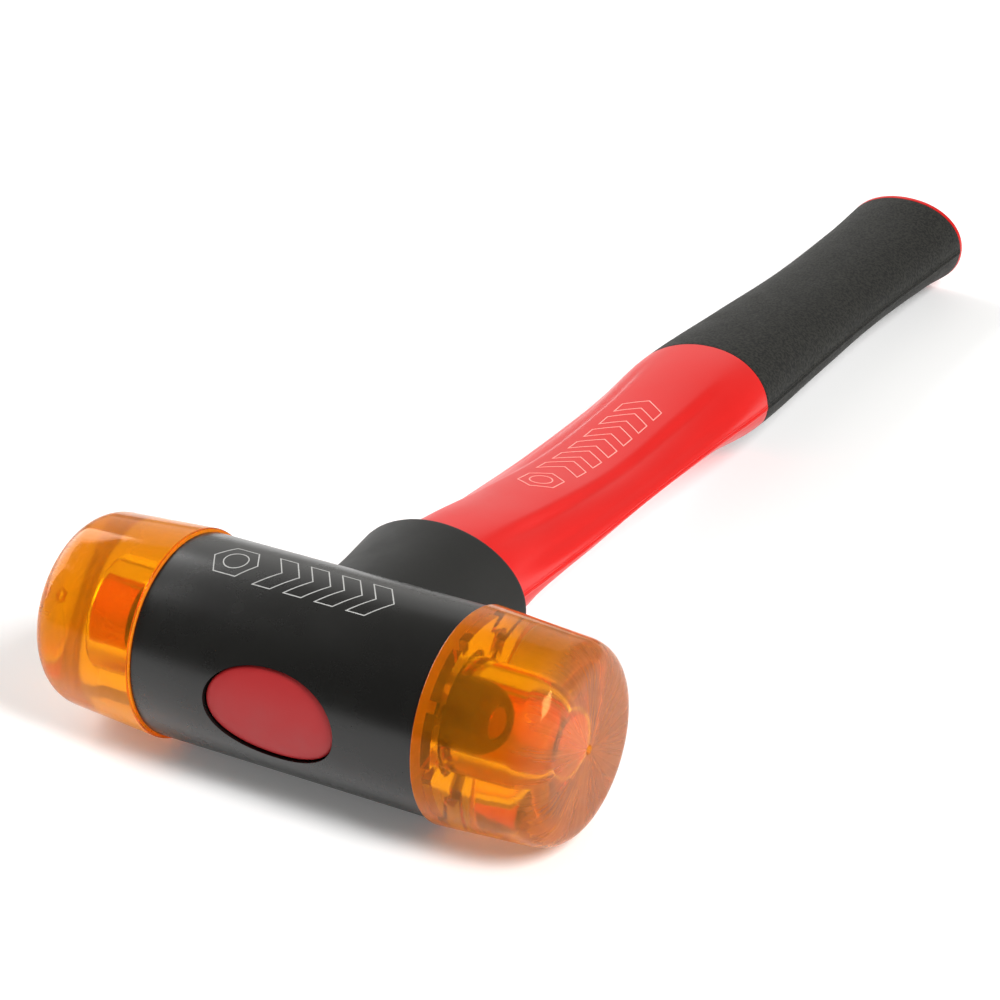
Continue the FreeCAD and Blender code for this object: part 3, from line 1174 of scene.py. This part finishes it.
@dataclass
class Grip:
    """Rubber sleeve moulded over the rear of the handle."""

    handle: Handle
    seam: float = 0.25
    rows: int = 110
    butt_gap: float = 0.05
    # rounds at its two ends as (grown, distance from the end), and how far from each end the plain part stops
    front_round: tuple[Pair, ...] = ((-2.4, 0.0), (-0.35, 0.02), (-0.1, 0.14))
    rear_round: tuple[Pair, ...] = ((-0.1, 0.15), (-0.35, 0.03), (-2.0, 0.0))
    front_plain: float = 0.4
    rear_plain: float = 0.5

    def build(self) -> None:
        """Draw the sleeve, flush with the jacket, with a small round at each end and a side seam."""
        handle, draft = self.handle, Draft()
        turns = handle.turns()
        end = handle.stations[-1][0] - handle.rim - self.butt_gap
        rows = []
        for grow, on in self.front_round:
            rows.append(draft.row(handle.point(handle.grip_edge(t) + on, t, grow) for t in turns))
        for step in range(self.rows + 1):
            part = step / self.rows
            rows.append(draft.row(
                handle.point(handle.grip_edge(t) + self.front_plain
                             + (end - self.rear_plain - handle.grip_edge(t) - self.front_plain) * part, t,
                             ridge=self.seam) for t in turns))
        for grow, on in self.rear_round:
            rows.append(draft.row(handle.point(end - on, t, grow) for t in turns))
        draft.capped(rows)
        report(draft.build("grip_sleeve", [GRIP_RUBBER], handle.place), "mallet", "grip_rubber", "grip")


@dataclass
class Collar:
    """Rubber bell that seats on the back of the tube and stands proud of the jacket behind it."""

    handle: Handle
    tube_r: float = 25.05
    # y, half width along X, half height along Z
    stations: tuple[Triple, ...] = (
        (10.0, 20.6, 14.6), (24.0, 21.4, 15.4), (38.0, 22.8, 16.5), (51.8, 24.6, 18.1))
    edge: float = 1.6
    edge_steps: int = 6
    rows: int = 24
    # how far its inside is sunk into the jacket, and how far its end dips there
    sunk: float = 0.5
    dip: float = 0.1
    # a first guess at the seat's station, and the number of times it is improved
    seat_guess: float = 22.0
    seat_rounds: int = 12

    def half_sizes(self, y: float) -> Pair:
        """Read the bell's section off the straight lines between its stations.

        Args:
            y: Station along the handle.

        Returns:
            The half width and the half height.
        """
        for low, high in zip(self.stations, self.stations[1:]):
            if y <= high[0]:
                part = (y - low[0]) / (high[0] - low[0])
                return low[1] + (high[1] - low[1]) * part, low[2] + (high[2] - low[2]) * part
        return self.stations[-1][1], self.stations[-1][2]

    def seat(self, turn: float) -> float:
        """Find the station where the bell meets the tube.

        Args:
            turn: Turn round the bell.

        Returns:
            The station.
        """
        y = self.seat_guess
        for _ in range(self.seat_rounds):
            z = self.half_sizes(y)[1] * math.sin(turn)
            y = math.sqrt(self.tube_r ** 2 - z * z)
        return y

    def outside(self, y: float, turn: float, grow: float = 0.0) -> Vector:
        """Find a point on the bell's outside.

        Args:
            y: Station along the handle.
            turn: Turn round the bell.
            grow: Distance that the point stands outside it.

        Returns:
            The point.
        """
        half_x, half_z = self.half_sizes(y)
        return Vector(((half_x + grow) * math.cos(turn), y, (half_z + grow) * math.sin(turn)))

    def inside(self, y: float, turn: float) -> Vector:
        """Find a point on the bell's inside, just under the jacket's skin.

        Args:
            y: Station along the handle.
            turn: Turn round the bell.

        Returns:
            The point.
        """
        half_x, half_z = self.handle.half_sizes(y)
        x, z = self.handle.outline(turn, half_x - self.sunk, half_z - self.sunk)
        return Vector((x, y, z))

    def build(self) -> None:
        """Draw the bell from its seat on the tube, over its rounded edge, to the jacket."""
        draft, turns = Draft(), self.handle.turns()
        end = self.stations[-1][0]
        rows = [draft.row(self.inside(self.seat(t), t) for t in turns)]
        for step in range(self.rows + 1):
            part = step / self.rows
            rows.append(draft.row(self.outside(self.seat(t) + (end - self.edge - self.seat(t)) * part, t)
                                  for t in turns))
        for step in range(1, self.edge_steps + 1):
            angle = math.pi / 2 * step / self.edge_steps
            y, grow = end - self.edge * (1 - math.sin(angle)), -self.edge * (1 - math.cos(angle))
            rows.append(draft.row(self.outside(y, t, grow) for t in turns))
        rows.append(draft.row(self.inside(end - self.dip, t) for t in turns))
        draft.skin(rows + rows[:1])
        piece = draft.build("collar_bell", [COLLAR_RUBBER], self.handle.place)
        report(piece, "mallet", "black_rubber", "collar")


# ------------------------------------------------------------------ hidden pieces and studio

def dress_hidden() -> None:
    """Give the CAD nodes that stay, all closed up inside, their finishes."""
    finishes = {"eye_epoxy": EPOXY, "handle_core": GLASS_FIBRE}
    for side in Side:
        finishes[f"shot_cup_{side.word}"] = PRESSED_STEEL
        finishes[f"fill_plug_{side.word}"] = PRESSED_STEEL
        finishes[f"shot_{side.word}"] = SHOT_STEEL
        finishes[f"face_washer_{side.word}"] = WASHER_RUBBER
    for name, finish in finishes.items():
        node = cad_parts[name]
        for holder in node.material_slots:
            holder.material = finish.material()
        LOG.info("%-22s keeps its CAD shape", name)


@dataclass(frozen=True)
class Softbox:
    """A soft rectangular light: where it hangs, the point it faces and its size in metres, and its watts."""

    name: str
    spot: Triple
    aim: Triple
    size: Pair
    watts: float

    def hang(self) -> None:
        """Add the light to the scene."""
        data = bpy.data.lights.new(self.name, "AREA")
        data.shape, data.size, data.size_y, data.energy = "RECTANGLE", self.size[0], self.size[1], self.watts
        light = bpy.data.objects.new(self.name, data)
        light.location = self.spot
        light.rotation_euler = (Vector(self.aim) - Vector(self.spot)).to_track_quat("-Z", "Y").to_euler()
        bpy.context.scene.collection.objects.link(light)


@dataclass
class Studio:
    """Pale floor, soft lights and the camera."""

    head: HeadFrame
    # the camera's bearing from the head in degrees, its distance and offsets in millimetres, and its lens
    azimuth: float = 30.51
    elevation: float = 27.03
    roll: float = -0.74
    distance: float = 702.1
    across: float = 40.27
    rise: float = 40.27
    lens: float = 108.66
    sensor: float = 36.0
    floor_reach: float = 6.0
    # the room round the floor: its colour, the way to its bright side, and how bright its two sides are
    room: str = "F6F3EC"
    room_way: Triple = (-0.5, 0.87, 0.0)
    room_front: float = 0.1
    room_back: float = 0.45
    boxes: tuple[Softbox, ...] = (
        Softbox("left_box", (-1.4, 0.1, 0.62), (0.0, -0.05, 0.03), (1.3, 1.1), 24.0),
        Softbox("right_box", (0.95, -0.4, 0.95), (0.0, -0.1, 0.03), (0.4, 0.6), 20.0),
        Softbox("back_box", (-0.75, 1.15, 0.75), (0.0, 0.0, 0.0), (1.3, 1.1), 2.5))

    def build_camera(self) -> None:
        """Set the camera by its bearing from the centre of the head."""
        a, e, g = (math.radians(v) for v in (self.azimuth, self.elevation, self.roll))
        back = Vector((math.sin(a) * math.cos(e), -math.cos(a) * math.cos(e), math.sin(e)))
        flat = Vector((math.cos(a), math.sin(a), 0))
        up = back.cross(flat)
        right = flat * math.cos(g) + up * math.sin(g)
        up = back.cross(right)
        data = bpy.data.cameras.new("camera")
        data.lens, data.sensor_width = self.lens, self.sensor
        camera = bpy.data.objects.new("camera", data)
        turn = Matrix((right, up, back)).transposed().to_4x4()
        spot = self.head.centre + (right * self.across + up * self.rise + back * self.distance) * MM
        camera.matrix_world = Matrix.Translation(spot) @ turn
        bpy.context.scene.collection.objects.link(camera)
        bpy.context.scene.camera = camera

    def build_floor(self) -> None:
        """Lay the floor that the mallet rests on."""
        mesh = bpy.data.meshes.new("floor")
        reach = self.floor_reach
        corners = [(-reach, -reach, 0), (reach, -reach, 0), (reach, reach, 0), (-reach, reach, 0)]
        mesh.from_pydata(corners, [], [(0, 1, 2, 3)])
        mesh.materials.append(FLOOR_PAPER.material())
        floor = bpy.data.objects.new("floor", mesh)
        bpy.context.scene.collection.objects.link(floor)

    def build_room(self) -> None:
        """Light the room evenly from all round, a little more from one side."""
        world = bpy.data.worlds.new("room")
        bpy.context.scene.world = world
        world.use_nodes = True
        tree = world.node_tree
        way = add_node(tree, "ShaderNodeTexCoord").outputs["Generated"]
        depth = add_node(tree, "ShaderNodeVectorMath", {0: way, 1: self.room_way},
                         operation="DOT_PRODUCT").outputs["Value"]
        glow = add_node(tree, "ShaderNodeMapRange", {"Value": depth, "From Min": -1.0, "From Max": 1.0,
                                                     "To Min": self.room_front, "To Max": self.room_back})
        shade = tree.nodes["Background"]
        shade.inputs["Color"].default_value = linear(self.room)
        tree.links.new(glow.outputs[0], shade.inputs["Strength"])

    def build(self) -> None:
        """Build the whole studio."""
        self.build_camera()
        self.build_floor()
        self.build_room()
        bpy.context.scene.view_settings.view_transform = "Standard"
        for box in self.boxes:
            box.hang()


def main() -> None:
    """Build every sub-assembly in order."""
    logging.basicConfig(level=logging.INFO, format="%(message)s")
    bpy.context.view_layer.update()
    head_frame = HeadFrame.from_cad()
    place = head_frame.matrix()
    Studio(head_frame).build()
    handle = Handle(place)
    head = Head(place)
    head.build_tube(handle)
    head.build_mark()
    for side in Side:
        Spigot(place, side).build()
        StrikingFace(place, side).build()
    handle.build_neck()
    handle.build_eye_end()
    handle.build_butt()
    handle.build_mark()
    Grip(handle).build()
    Collar(handle).build()
    dress_hidden()


if __name__ == "__main__":
    main()
